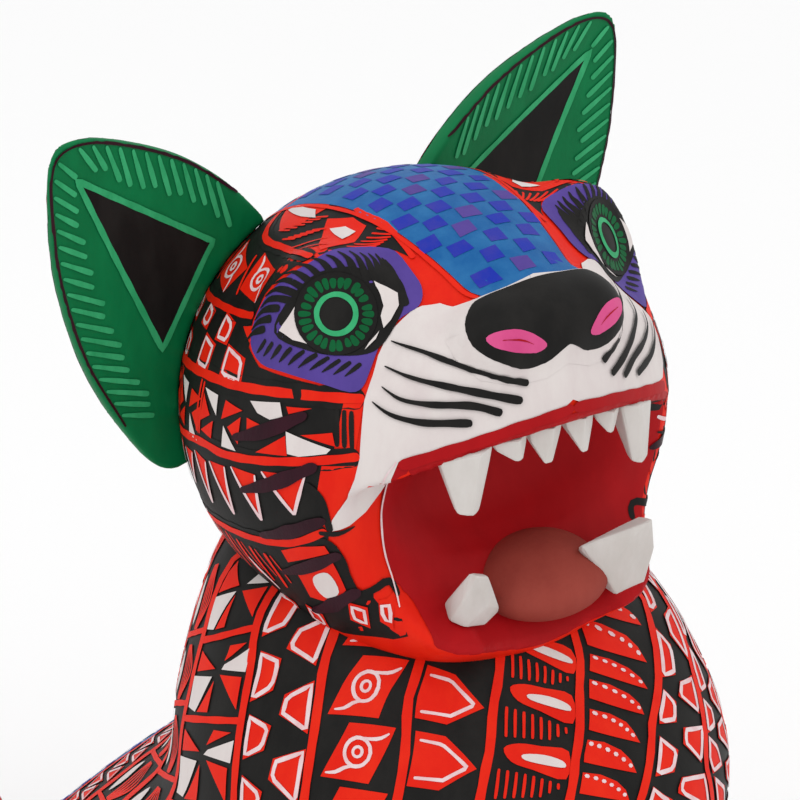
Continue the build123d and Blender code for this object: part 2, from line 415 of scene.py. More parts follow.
# Each ring behind the seat, above it, and its radius
TAIL_ROWS = [(0, 0.2, 11.5), (14, 3, 11.4), (29, 5.5, 10.6), (46, 11, 10), (58, 25, 9.8), (61, 46, 10),
             (58, 65, 10), (55.5, 83, 9.6), (55, 101, 9.2), (58, 117, 8.7), (62, 130, 8), (64.5, 137, 6.6),
             (66, 141, 4.4), (67, 143, 2)]
TAIL_LINE = smooth_line(TAIL_ROWS, 8)


def tail_point(angle, row):
    """A point on the tail and its outward normal."""
    angle, row = np.broadcast_arrays(np.radians(angle), row)
    y, z, r = read_table(row, TAIL_LINE)
    dy, dz = read_table(row, np.gradient(TAIL_LINE[:, :2], axis=0))
    size = np.hypot(dy, dz)
    out = np.stack([np.sin(angle), np.cos(angle) * dz / size, -np.cos(angle) * dy / size], axis=-1)
    centre = TAIL_SEAT + np.stack([np.zeros_like(y), y, z], axis=-1)
    return centre + out * r[..., None], out


loft("carved_tail", "tail", "tail", tail_point, TAIL_LINE, 48, clockwise=True)

# ------------------------------------------------------------------ ears
EAR_OUTLINE = smooth_line(
    [(17, 31), (26, 42.5), (37, 51.3), (49, 57.2), (61, 61.1), (67.6, 60.4), (69.6, 55), (69.3, 45),
    (67.8, 32), (62.5, 14), (54, -2), (43, -14), (30, -8), (18, 6), (14, 18)], 6, closed=True)
EAR_FRONT_Y = 27.0
EAR_DISH, EAR_DISH_EDGE = 1.6, 14
EAR_GAP = 0.3        # daylight between a push-fit ear and the head


def ear_distance(side):
    def distance(p):
        x = p[..., 0] * side
        edge = polygon_distance(x, p[..., 2], EAR_OUTLINE)
        back = ellipsoid(np.stack([x, p[..., 1], p[..., 2]], axis=-1), (36, 20.8, 22), (58, 11, 72))
        dish = EAR_DISH * np.clip(-edge / EAR_DISH_EDGE, 0, 1)
        front = EAR_FRONT_Y + dish - p[..., 1]
        d = carve(carve(edge, -back, 1.2), -front, 0.8)
        clear = np.array((HEAD_R, HEAD_R, HEAD_RISE)) + EAR_GAP
        return carve(d, ellipsoid(p, (0, 0, 0), clear), 0.3)
    return distance


EAR_TREES = {}
for side, name in SIDES:
    low, high = sorted((side * 12, side * 72))
    *_, EAR_TREES[side] = sculpt(f"carved_ear_{name}", f"ear_{name}", ear_distance(side), (low, 24, -18),
                                 (high, 40, 64), 0.8, "green", f"{name}_ear", HEAD)


# ------------------------------------------------------------------ teeth and tongue
EASED = 0.45 * MM      # how far the knife's edges are rounded


def chiselled(name, node, points):
    """A tooth cut with flat strokes of the knife: the hull of a few corners, its edges barely eased."""
    mesh = bpy.data.meshes.new(name)
    bm = bmesh.new()
    for point in points:
        bm.verts.new((np.array(point, float) + HEAD) * MM)
    bmesh.ops.convex_hull(bm, input=bm.verts)
    loose = [v for v in bm.verts if not v.link_faces]
    bmesh.ops.delete(bm, geom=loose, context="VERTS")
    bmesh.ops.bevel(bm, geom=bm.edges[:], offset=EASED, segments=2, profile=0.6, affect="EDGES",
                    clamp_overlap=True)
    bm.to_mesh(mesh)
    bm.free()
    add_piece(mesh, "tooth", "figure", [node])


# Corners of the teeth that come in pairs, on the figure's left: the gum first, then the tip
PAIRED_TEETH = {
    ("cut_upper_canine", "upper_canine"): ((15.4, -43.4, 10.4), (19.5, -44.6, 9.6), (25.8, -40.2, 8),
    (24.5, -35, 10), (16.5, -36, 10.5), (18.6, -43.4, -2.4), (20.6, -44.2, -3.2), (23.2, -42.6, -2.6),
    (22.8, -40.8, -2.2), (19.3, -41, -2.2)),
    ("cut_outer_incisor", "upper_incisor_outer"): ((8.0, -44.3, 11.9), (11.4, -46.4, 11.2),
    (15.4, -43.2, 10.5), (15, -38, 11), (9, -38.5, 12), (8.6, -44.6, 9.4), (14.6, -43.4, 8.6),
    (10.4, -46.2, 6.8), (11.8, -45.9, 6.6), (11.4, -43.6, 7)),
    ("cut_inner_incisor", "upper_incisor_inner"): ((0.2, -45.2, 12.5), (3.8, -47.2, 12),
    (7.8, -44.6, 11.9), (7.4, -39, 12), (0.6, -39.5, 12.6), (0.9, -45.4, 10), (7.4, -44.8, 9.2),
    (3.6, -46.6, 4.7), (5.2, -46.3, 4.6), (4.8, -43.6, 5.4)), }
for side, name in SIDES:
    for (piece, node), corners in PAIRED_TEETH.items():
        chiselled(f"{piece}_{name}", f"{node}_{name}", [(side * x, y, z) for x, y, z in corners])
chiselled("cut_lower_canine_right", "lower_canine_right", [
    (-9, -37, -29.6), (-14.5, -39.8, -29.8), (-19.5, -40, -28.8), (-21.6, -38, -27.6), (-20, -33, -27),
    (-11, -32, -29), (-12.2, -41.4, -26), (-16.8, -43.8, -23.6), (-21.4, -41.4, -22.6), (-21, -38, -22),
    (-14.6, -37.5, -24), (-18, -45.6, -16), (-20.6, -45.6, -15.2), (-20.9, -43.4, -15.2),
    (-17.6, -43.4, -16.4)])
chiselled("cut_lower_canine_left", "lower_canine_left", [
    (8.4, -40.2, -19.2), (9.4, -38.4, -20.4), (13.2, -42.2, -26), (17.2, -41.5, -32.5), (24.2, -41, -32),
    (24, -33, -30), (15, -33, -31), (18.8, -45, -17.6), (21.4, -45.8, -15.2), (22.8, -45, -15.4),
    (24.8, -43.4, -23), (22, -42, -15.6), (18.6, -40.5, -18)])


def tongue_distance(p):
    d = ellipsoid(p, (4, -34.5, -27.5), (14, 11, 7))
    return join(d, ellipsoid(p, (4, -30, -25.5), (11, 8, 6)), 5)


sculpt("rounded_tongue", "tongue", tongue_distance, (-14, -50, -42), (22, -18, -12), 0.9, "tongue",
       offset=HEAD)

for node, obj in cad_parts.items():
    if "_peg" in node:
        obj.data.materials.clear()
        obj.data.materials.append(COPAL)

# ------------------------------------------------------------------ brushwork
CANVAS = {}
LOWEST_LAYER, LAYER = 0.1, 0.085     # how far paint stands off the wood
FAR = 90.0                           # rays start this far out, clear of the wood
MISSED = 60                          # a ray that misses takes the wood nearest to its point this far along


def lay(body, colour, points, normals, faces, layer):
    """Add a thin skin of paint, lifted a little more per layer so that later strokes cover earlier ones."""
    verts, skin = CANVAS.setdefault((body, colour), ([], []))
    start = sum(len(v) for v in verts)
    verts.append(points + normals * (LOWEST_LAYER + LAYER * layer))
    skin.append(np.asarray(faces) + start)


class Chart:
    """A flat map of a surface. place() takes map coordinates to points and normals, drop() brings points
    that stand beside the surface back to it, and unit is the millimetres in a map unit."""
    body, offset, unit = "figure", ORIGIN, 1.0

    def drop(self, points, normals):
        return points, normals


class Skin(Chart):
    """A chart of a carved surface, found by casting a ray for each point."""

    def __init__(self, ray, tree, offset, body="figure", unit=1.0):
        self.body, self.ray, self.tree, self.offset, self.unit = body, ray, tree, offset, unit

    def place(self, uv):
        found = []
        for u, v in np.atleast_2d(uv):
            origin, way = self.ray(u, v)
            hit = self.tree.ray_cast(Vector(origin), Vector(way))
            if hit[0] is None:
                hit = self.tree.find_nearest(Vector(np.array(origin) + np.array(way) * MISSED))
            found.append(hit)
        return np.array([f[0] for f in found]), np.array([f[1] for f in found])

    def drop(self, points, normals):
        found = [self.tree.find_nearest(Vector(p)) for p in points]
        return np.array([f[0] for f in found]), np.array([f[1] for f in found])


# Angles of the red lines down the body, each at the four EDGE_HEIGHTS
EDGE_HEIGHTS = (148, 160, 172, 184)
EDGES = [
    (-154, -154, -154, -154), (-140, -140, -140, -142), (-126, -126, -127, -132), (-111, -111, -112, -116),
    (-85.5, -87, -88, -94), (-67.5, -67, -66, -68), (-49, -45.5, -42, -36), (-33, -27, -17.5, -8),
    (-14, -4.5, 11, 22), (5, 20, 52, 60), (31, 46, 72, 85), (52, 62, 88, 98), (73, 82, 102, 110),
    (94, 100, 116, 122), (115, 118, 130, 134), (135, 137, 142, 145), (154, 154, 154, 154)]
# The painted rows stand highest at TILT_ANGLE, and sink by up to twice TILT on the other side
TILT_ANGLE, TILT = -55, 29
ABOVE_NECK = 70
BODY_ROWS = np.arange(len(TORSO_LINE))
FALL_LINE, _ = torso_point(-45, BODY_ROWS[::-1])
# Millimetres down the front of the shoulder against height, carried on above the neck
FALL = np.concatenate([[-ABOVE_NECK], run_along(FALL_LINE)])
FALL_Z = np.concatenate([[FALL_LINE[0, 2] + ABOVE_NECK], FALL_LINE[:, 2]])
BAND_TOP_Z, BAND_BOTTOM_Z, BAND_WIDTH = 192, 5, 18


def tilt(angle):
    """How far the painted rows sink at an angle, against the place where they stand highest."""
    return TILT * (1 - np.cos(np.radians(angle - TILT_ANGLE)))


def body_row(angle, height):
    """The row of TORSO_LINE that passes a height at an angle."""
    height, fore, lean = height[:, None], np.cos(np.radians(angle))[:, None], np.radians(TORSO_LINE[:, 4])
    level = TORSO_LINE[:, 0] - fore * TORSO_LINE[:, 3] * np.sin(lean)
    above = np.clip((level < height).sum(axis=1), 1, len(BODY_ROWS) - 1)
    pick = np.arange(len(level))
    low, high = level[pick, above - 1], level[pick, above]
    return above - 1 + np.clip((height[:, 0] - low) / (high - low), 0, 1)


class Band(Chart):
    """A strip between two EDGES: nine units to each side of its middle, and millimetres down the body."""

    def __init__(self, first, last):
        self.first, self.last = first, last
        sink = [tilt((first[i] + last[i]) / 2) for i in (-1, 0)]
        self.top, self.bottom = np.interp(
            (-(BAND_TOP_Z + sink[0]), -(BAND_BOTTOM_Z + sink[1])), -FALL_Z, FALL)

    def place(self, uv):
        uv = np.atleast_2d(uv)
        level = height = np.interp(uv[:, 1], FALL, FALL_Z)
        for _ in range(10):      # the angle hangs on the height, and the height on the angle
            a, b = (np.interp(height, EDGE_HEIGHTS, edge) for edge in (self.first, self.last))
            angle = a + (b - a) * (uv[:, 0] / BAND_WIDTH + 0.5)
            height = height + 0.45 * (level - tilt(angle) - height)
        return torso_point(angle, body_row(angle, height))


def fill(skin, outline, colour, layer=1, spacing=2.4):
    """A flat patch of paint inside an outline."""
    corners = np.array(outline, float)
    gap = spacing / skin.unit
    border = []
    for a, b in zip(corners, np.roll(corners, -1, axis=0)):
        count = max(1, math.ceil(np.linalg.norm(b - a) / gap))
        border += [a + (b - a) * i / count for i in range(count)]
    border = np.array(border)
    low, high = border.min(axis=0), border.max(axis=0)
    inner = np.stack(np.meshgrid(*[np.arange(a + gap / 2, b, gap) for a, b in zip(low, high)]),
                     -1).reshape(-1, 2)
    if len(inner):
        inner = inner[polygon_distance(inner[:, 0], inner[:, 1], corners) < -0.4 * gap]
    flat = np.vstack([border, inner]) if len(inner) else border
    ring = [(i, (i + 1) % len(border)) for i in range(len(border))]
    verts, _, faces, _, _, _ = delaunay_2d_cdt([Vector(p) for p in flat], ring, [], 1, 1e-5)
    if not faces:
        return
    points, normals = skin.place(np.array([tuple(v) for v in verts]))
    faces = np.array(faces)
    a, b, c = points[faces[:, 0]], points[faces[:, 1]], points[faces[:, 2]]
    if (np.cross(b - a, c - a) * normals[faces[:, 0]]).sum() < 0:
        faces = faces[:, ::-1]
    lay(skin.body, colour, points + skin.offset, normals, faces, layer)


def stroke(skin, path, width, colour, layer=2, ends=(1.0, 1.0), closed=False, curve=True, step=1.1):
    """One pull of the brush along a path. ends is the width at start and finish against the middle."""
    line = smooth_line(path, 8, closed) if curve and len(path) > 2 else np.array(path, float)
    if closed:
        line = np.vstack([line, line[:1]])
    run = run_along(line)
    count = max(3, math.ceil(run[-1] * skin.unit / step) + 1)
    at = np.linspace(0, run[-1], count)
    if not closed:
        cap = min(0.45 * width / skin.unit, run[-1] / 4)
        at = np.unique(np.concatenate(
            [at, [cap * 0.12, cap * 0.5, run[-1] - cap * 0.5, run[-1] - cap * 0.12]]))
    line = np.stack([np.interp(at, run, column) for column in line.T], axis=-1)
    points, normals = skin.place(line)
    along = np.gradient(points, axis=0)
    if closed:
        along[0] = along[-1] = points[1] - points[-2]
    side = np.cross(normals, along)
    side /= np.maximum(np.linalg.norm(side, axis=1, keepdims=True), 1e-9)
    t = at / run[-1]
    wide = np.interp(t, (0, 0.5, 1), (ends[0], 1, ends[1])) * width / 2
    wide *= 1 + 0.07 * np.sin(t * run[-1] * skin.unit * 0.9 + RNG.uniform(0, 6))
    if not closed:
        near = np.minimum(at, run[-1] - at) * skin.unit / (0.5 * width)
        wide *= np.sqrt(np.clip(1 - (1 - np.clip(near, 0.02, 1)) ** 2, 0, 1))
    (left, left_n), (right, right_n) = [skin.drop(points + side * sign * wide[:, None],
                                                  normals) for sign in (1, -1)]
    n = len(points)
    i = np.arange(n - 1)
    faces = np.stack([i + 1, i + n + 1, i + n, i], axis=-1)
    verts, ways = np.vstack([left, right]) + skin.offset, np.vstack([left_n, right_n])
    lay(skin.body, colour, verts, ways, faces, layer)


def strokes(skin, paths, width, colour, layer=2, **style):
    """Several strokes with one brush and paint."""
    for path in paths:
        stroke(skin, path, width, colour, layer, **style)


def outlined(skin, outline, colour, edge="stroke", width=0.7, inset=0.75, layer=2):
    """A patch of paint with a thin line drawn just inside its outline."""
    corners = np.array(outline, float)
    fill(skin, corners, colour, layer)
    middle = corners.mean(axis=0)
    size = np.linalg.norm(corners - middle, axis=1, keepdims=True)
    ring = middle + (corners - middle) * np.clip(1 - inset / skin.unit * 1.35 / np.maximum(size, 1e-6),
                                                 0.2, 1)
    stroke(skin, ring, width, edge, layer + 1, closed=True, curve=False, step=1.6)


# ------------------------------------------------------------------ painting the head
def ball(side):
    """The head by azimuth from the face round towards one side, and elevation, both in degrees."""
    def ray(az, el):
        way = direction(az, el) * (side, 1, 1)
        return way * FAR, -way
    return Skin(ray, HEAD_TREE, HEAD, unit=0.84)


def crown_ray(x, v):
    """The top of the head by x, and millimetres up and back from the level of the eyes."""
    way = direction(0, math.degrees(v / HEAD_R))
    return way * FAR + (x, 0, 0), -way


NOSE_TILT = math.radians(40)


def nose_ray(x, w):
    """The end of the muzzle seen from in front and above: x, and millimetres up the slope."""
    way = np.array((0, math.cos(NOSE_TILT), -math.sin(NOSE_TILT)))
    return (x, w * math.sin(NOSE_TILT), w * math.cos(NOSE_TILT)) - FAR * way, way


CROWN = Skin(crown_ray, HEAD_TREE, HEAD)
NOSE = Skin(nose_ray, HEAD_TREE, HEAD)


def jog(points, amount=0.35):
    """The same points, each a little out of place as a free hand leaves them."""
    return np.array(points, float) + RNG.uniform(-amount, amount, (len(points), 2))


def cheek_ground(skin):
    """The black that the bands are painted on, from the face to the back of the head."""
    base = [
        (61, -12), (59, -2), (58, 8), (56, 18), (56, 24), (64, 25), (74, 25), (82, 25), (88, 28), (90, 34),
        (87, 40), (81, 45), (75, 50), (70, 55), (61, 61), (50, 61), (41, 59), (50, 64), (66, 69), (95, 70),
        (128, 65), (146, 50), (156, 30), (159, 8), (159, -38), (120, -40), (93, -40), (75, -43), (60, -41),
        (44, -36), (40, -33), (43, -28), (46, -25), (49, -25), (53, -26), (55, -22), (56, -16), (58, -13)]
    fill(skin, base, "black", 0, 3.0)


def cheek_lines(skin):
    """The red lines between the bands, and the plain reds that reach towards the face."""
    fill(skin, [(60, 7), (50, 8.5), (51, 4), (54, -1), (58, -7), (60, -4), (61, 0)], "red")
    fill(skin, [(56, 24), (57, 12), (52, 12), (51, 23)], "red")
    for line, wide in (([(156, 55), (125, 49), (100, 52), (75, 50.5)], 1.5),
                       ([(157, 24), (132, 27), (113, 31), (90, 35)], 1.5),
                       ([(158, 2), (128, 11), (106, 16), (87, 19), (68, 22), (51, 23.5)], 1.9),
                       ([(158, -10), (125, -5), (100, 1), (89, 2), (74, 5), (51, 10.5)], 1.7),
                       ([(158, -26), (115, -23), (95, -20), (76, -17), (67, -14), (59, -9)], 1.7)):
        stroke(skin, line, wide + 2.4, "black", 1)
        stroke(skin, line, wide, "red")
    stroke(skin, [(61, -12), (58, -13), (56, -17), (55, -22), (53, -26), (49, -25), (46, -25), (43, -28)],
           1.5, "black")
    stroke(skin, [(64, 2), (60, -1), (58, -9)], 1.6, "black", 3)
    stroke(skin, [(61, -10), (57, -9.5), (53, -8)], 1.1, "black", 3, ends=(1, 0.4))
    stroke(skin, [(41, 59), (50, 64.5), (66, 69.5), (95, 70.5)], 1.2, "red")


def temple(skin):
    """White blocks in red triangles above the eye, with hatching between."""
    for tri in ([(119, 53), (141, 54), (124, 67), (114, 66), (112, 58)],
                [(75, 53), (102, 64), (88, 68), (74, 67), (70, 60)],
                [(160, 50), (150, 62), (142, 64), (146, 55)]):
        fill(skin, tri, "red")
    for start, finish, count in (((117, 53), (106, 64), 6), ((108, 53), (97, 61), 6),
                                 ((98, 53), (87, 58), 5), ((88, 52.5), (79, 55), 4)):
        for i in range(count):
            x, y = np.array(start) + (i + 0.5) / count * (np.array(finish) - start)
            stroke(skin, [(x + 3, y - 1), (x - 3.5, y + 1.4)], 0.5, "red")
    for i in range(7):
        stroke(skin, [(70 - i * 0.6, 55 + i * 2), (60 - i * 1.2, 61 + i * 1)], 0.5, "red")
    for block in ([(136, 55), (135, 58), (118, 63), (109, 62), (119, 59)],
                  [(92, 62), (85, 64.5), (76, 64), (76, 59.5)]):
        fill(skin, block, "white", 3)


def cheek_diamonds(skin):
    """Red diamonds, each with a ringed eye and two tails."""
    for middle in ((100, 42.5), (122, 38.5), (143, 33)):
        at = np.array(middle)
        fill(skin, at + [(11.16, 5), (-9.92, 3.5), (-7.44, -5), (6.82, -5)], "red")
        for wide, tall in ((4.6, 2.9), (1.6, 1.0)):
            stroke(skin, oval(wide, tall, 12, at), 0.7, "stroke", closed=True, curve=False, step=0.7)
        stroke(skin, at + [(4.4, 0.5), (6, 3.2), (9, 4.6)], 0.7, "stroke", ends=(0.9, 0.5))
        stroke(skin, at + [(-4.4, -0.5), (-6.4, -2.6), (-7.4, -5)], 0.7, "stroke", ends=(0.9, 0.5))
        stroke(skin, at + [(14, 3), (6, -6.5)], 0.7, "red")
    fill(skin, [(94, 31.5), (86.5, 33.5), (88, 29)], "red")


def cheek_blocks(skin):
    """Staggered red blocks, each with a white line inside."""
    for x, y, wide, tall in ((115, 27, 6.5, 6), (101.5, 28.5, 7, 6.5), (128, 24, 6, 6),
                             (122, 16.5, 5.5, 6.5), (106, 20.5, 7.5, 7.5), (92, 22.5, 8.5, 7),
                             (137, 14.5, 6, 6.5), (144, 22, 6, 6), (151, 12.5, 6, 6)):
        corners = np.array([(0.55, 0.5), (-0.5, 0.45), (-0.62, -0.42), (0.42, -0.55)]) * (wide, tall)
        outline = jog(corners + (x, y), 0.3)
        outlined(skin, outline, "red", width=0.8, inset=0.9, layer=1)


def cheek_bow_ties(skin):
    """Pairs of white and red triangles that meet at a waist, with fine red lines between the pairs."""
    for cx, slope in ((146, 0.1), (127, 0.15), (109, 0.2), (92, 0.2)):
        y = 9 - (cx - 92) * slope
        for dx, upper, lower in ((4.2, "white", "red"), (-4.2, "red", "white")):
            for shape, colour in (([(1.9, 5.2), (0.4, 5.6), (0.3, 0.8)], upper),
                                  ([(1.8, -5), (0.5, -5.4), (0.5, -0.6)], lower),
                                  ([(1.9, 3.6), (1.9, -3), (0.9, 0)], "red")):
                fill(skin, jog(np.array(shape) * (dx, 1) + (cx, y), 0.25), colour, 2)
        for dx in (9.2, 10.8):
            stroke(skin, [(cx + dx, y + 6.2), (cx + dx - 1, y - 6.2)], 0.7, "red")


def cheek_shards(skin):
    """The loose white and red shapes where the bands reach the face."""
    for shape, colour in (
            ([(82, 17), (73, 19), (71.5, 16), (75, 14.5), (79, 15)], "white"),
            ([(71, 18.5), (64, 19.5), (70, 17)], "red"), ([(66, 13), (58, 15), (57, 12)], "red"),
            ([(70, 13), (58, 11.2), (59, 10), (66, 8), (69, 8)], "white"),
            ([(78, 6), (70, 12), (69, 7.5)], "red"), ([(82, 13), (76, 12.5), (81, 8)], "red")):
        fill(skin, shape, colour, 2)
    for x in (57, 55.2, 53.4):
        stroke(skin, [(x + 0.5, 20.5), (x - 0.5, 12)], 1.0, "black")


def cheek_fangs(skin):
    """Long red points with white edges, like a row of teeth."""
    for left, right, tip in (((146, -9), (139, -8), (141, -21)), ((135, -8), (127, -7), (129, -19)),
                             ((123, -6.5), (115, -5), (117, -17)), ((111, -5), (105, -4), (107, -13)),
                             ((103, -2.5), (97, -3), (97, -14)), ((95, -2), (88.5, -1), (87, -13)),
                             ((86, 0), (78, 0.5), (77, -11)), ((76, 2), (64, 4), (67, -6.5))):
        fill(skin, [left, right, tip], "red")
        strokes(skin, ([left, tip], [right, tip]), 0.8, "stroke", 3, curve=False, ends=(0.6, 1))


def cheek_hem(skin):
    """The lowest bands: fine upright lines, and a few blocks towards the chin."""
    for x in np.arange(78, 152, 5.5):
        stroke(skin, [(x + 2, -22), (x - 1, -33)], 0.9, "red")
        stroke(skin, [(x, -22), (x - 4, -30)], 0.4, "red")
    fill(skin, [(73, -18.5), (67, -15.5), (60, -13.5), (59, -15.5), (72, -22)], "red", 2)
    fill(skin, [(71, -23), (59, -17), (56, -26), (60, -31), (68, -32)], "red", 2)
    fill(skin, smooth_line([(65, -24.5), (60.5, -22), (58, -27), (62, -30), (65, -28)], 4, True), "white",
         3)
    stroke(skin, [(89, -27), (86, -32), (82, -36)], 1.3, "stroke", 3, ends=(0.4, 0.4))
    for x, y, wide, tall in ((68, -39, 7, 6), (53, -32, 6, 6), (45.5, -30, 4, 6), (80, -41, 6, 5)):
        corners = np.array([(0.5, 0.5), (-0.4, 0.45), (-0.5, -0.5), (0.45, -0.4)]) * (wide, tall)
        outline = jog(corners + (x, y), 0.3)
        outlined(skin, outline, "red", width=0.8, inset=0.9)


def tiger_strokes(skin):
    """Five dark strokes laid over all the bands."""
    for a, b in (((86, 7), (65, 18)), ((83, -5), (61, 7)), ((79, -16), (59, -6)), ((76, -27), (56, -15)),
                 ((69, -37), (52, -25))):
        middle = (np.array(a) + b) / 2 + (1, -1.2)
        stroke(skin, [a, middle, b], 3.2, "maroon", 4, ends=(0.4, 0.6), step=0.8)


CHEEK = (cheek_ground, cheek_lines, temple, cheek_diamonds, cheek_blocks, cheek_bow_ties, cheek_shards,
         cheek_fangs, cheek_hem, tiger_strokes)


def left_jowl(skin):
    """On the figure's left the bands run on almost to the mouth."""
    fill(skin, [(58, 22), (58, -30), (48, -22), (50.5, -12), (50.5, -4), (47.5, 6), (46, 13), (52, 22)],
         "black", 0, 2.4)
    for y in (14, 8, 2, -5, -11, -17):
        fill(skin, jog([(58, y + 2.4), (51.5, y + 1.2), (51.8, y - 2), (58, y - 2.6)], 0.4), "red")
    strokes(skin, ([(57, 7), (54.5, 6.4), (52.6, 7.6)], [(57, -6), (54.5, -5), (53, -3.8)]), 0.8, "stroke")
    strokes(skin, ([(60, 13), (50, 10)], [(60, -9), (51.5, -12)]), 2.8, "maroon", 4, ends=(0.5, 0.5))


def muzzle_white(skin, side):
    """The white of the muzzle. On the figure's right it runs down past the corner of the mouth."""
    if side < 0:
        corner = [(42, 10), (44, 5), (48, -1.5), (51, -5.5), (54, -7.5), (58, -9), (57.5, -6), (54, 0),
                  (52, 5), (51, 10), (51, 17)]
    else:
        corner = [(42, 11), (46, 13), (50, 18)]
    lip = [(0, 20), (4, 18), (14, 17), (23, 15), (33, 12.5)]
    cheek = [(51, 23), (50, 29), (49.5, 34), (47.5, 39.5), (43, 43), (40, 45), (37, 46), (31, 46.5),
             (27, 45), (22, 45)]
    fill(skin, [(0, 48)] + lip + corner + cheek, "white", 2, 0.7)


def eye_patch(skin):
    """The purple patch round the eye, with lashes above and below."""
    patch = smooth_line([(73, 50), (70, 55), (62, 60), (50, 60.5), (40, 54), (37, 50), (38, 46),
                         (43, 43.5), (48, 40), (50, 35), (51, 30), (52, 26), (55, 24.5), (63, 25.5),
                         (73, 26), (81, 26), (87, 29), (88, 34), (85, 39), (79, 44)], 3, True)
    fill(skin, patch, "purple", 3, 1.6)
    lid = smooth_line([(82, 33), (76, 40), (70, 45), (62, 49), (55, 51.5), (48, 51), (43, 47)], 3)
    sweep = smooth_line([(8, -4), (10, -3), (10.5, 0), (9.5, 3), (8.5, 5), (7, 6.5), (6, 7)], 3)
    for root, way in zip(lid, sweep):
        bend = way * 0.55 + (-way[1] * 0.1, way[0] * 0.1)
        stroke(skin, [root - way * 0.15, root + bend, root + way * RNG.uniform(0.92, 1.08)], 1.25, "black",
               4, ends=(1.3, 0.25))
    for i in range(10):
        az = 82 - 2.9 * i
        stroke(skin, [(az - 2, 31.5), (az - 0.2, 29.5), (az + 1.4, 27.8)], 0.9, "black", 4,
               ends=(1.1, 0.3))


def whiskers(skin):
    """Four black whiskers, thin at the outer end."""
    strokes(skin, (
        [(46, 37.7), (37, 35), (30, 32.4), (22, 29.6), (17, 27.7), (11, 25.6)],
        [(47, 31.3), (40, 29), (32, 27.2), (23, 25), (13, 22.2)],
        [(47, 26.4), (42, 24), (35, 23), (25, 22.4), (18, 20.2)],
        [(49, 23), (44, 20.4), (37, 19), (30, 18.8), (25, 18.6)]), 1.3, "black", 7, ends=(0.25, 1.25))


def lips(skin, side):
    """The crimson upper lip, and on the figure's right, toward the camera, a painted highlight: a pale line
    down the rim of the mouth.
    """
    stroke(skin, [(0, 18.2), (4, 17.8), (14, 16.5), (23, 14.4), (33, 11.8), (42, 9)], 2.2, "crimson", 4)
    if side < 0:
        stroke(skin, [(40, 8.4), (42.2, 7.4), (43.8, 4.8)], 1.8, "crimson", 1, ends=(1, 0.3))
        # painted highlight: a pale line down the edge of the mouth's rim, where the rim catches the light
        stroke(skin, [(42.5, 10), (45.5, 5), (47.8, -5), (47.9, -12), (46.9, -20), (44.6, -26),
                      (42.4, -29)], 0.5, "stroke", 4, ends=(0.6, 0.6))


def paint_eye(side):
    """Black almond, white corners and an iris of short green strokes, on a chart square to the eye."""
    centre, normal = EYE * (side, 1, 1), EYE_NORMAL * (side, 1, 1)
    across = np.cross(normal, (0, 0, 1.0))
    across /= np.linalg.norm(across)
    rise = np.cross(across, normal)
    out = 1 if across[0] * side > 0 else -1

    def ray(u, v):
        return centre + normal * 14 + across * u + rise * v, -normal

    def mirrored(points):
        return [(x * out, y) for x, y in points]

    skin = Skin(ray, HEAD_TREE, HEAD)
    almond = smooth_line(mirrored([(13, -3.2), (7, -6.8), (0.5, -7.8), (-6, -6.9), (-9.8, -2.2),
                                   (-11.6, 3), (-8.6, 6.6), (-2, 9.2), (5, 8.2), (10, 3.4)]), 4, True)
    fill(skin, almond, "black", 4, 1.3)
    fill(skin, mirrored([(12, -2.9), (8.8, 2.8), (9.2, -1), (7, -5.6), (9.6, -4.8)]), "white", 5, 1.3)
    fill(skin, mirrored([(-5.6, 6.6), (-10.2, 4.2), (-10.6, 1.9), (-9.2, -0.8), (-7.8, -2.4), (-7.2, 0),
                         (-7.7, 1.9), (-7, 4)]), "white", 7, 1.3)
    fill(skin, mirrored([(-7, -2.9), (-6.3, -4.5), (-4.1, -6.7), (-5, -5.2)]), "white", 7, 1.3)
    iris = np.array((1.5 * out, 0.3))
    fill(skin, oval(8.1, 8.1, 36, iris), "black", 6, 1.6)
    for i in range(26):
        t = i * 2 * math.pi / 26 + RNG.uniform(-0.04, 0.04)
        way = np.array((math.cos(t), math.sin(t)))
        stroke(skin, [iris + way * 4.9, iris + way * RNG.uniform(6.9, 7.5)], 1.2, "iris", 7,
               ends=(0.7, 1.2), curve=False, step=1.0)
    stroke(skin, oval(3.7, 3.7, 40, iris), 1.1, "light_green", 8, closed=True, curve=False, step=0.5)


NEAR_MOUTH = 4
# Where the crimson stops: how far out at each height on the figure's right, and how far over the rim
RIM_Z, RIM_X, LEFT_RIM_X = (-24, -20, -10, -2, 5, 7, 9), (26.5, 29, 31, 31, 30, 31, 40), 45
LIP_Z, LIP_OVER = (-30, -20, 0, 6), (0.7, 0.08, 0.08, 2.2)


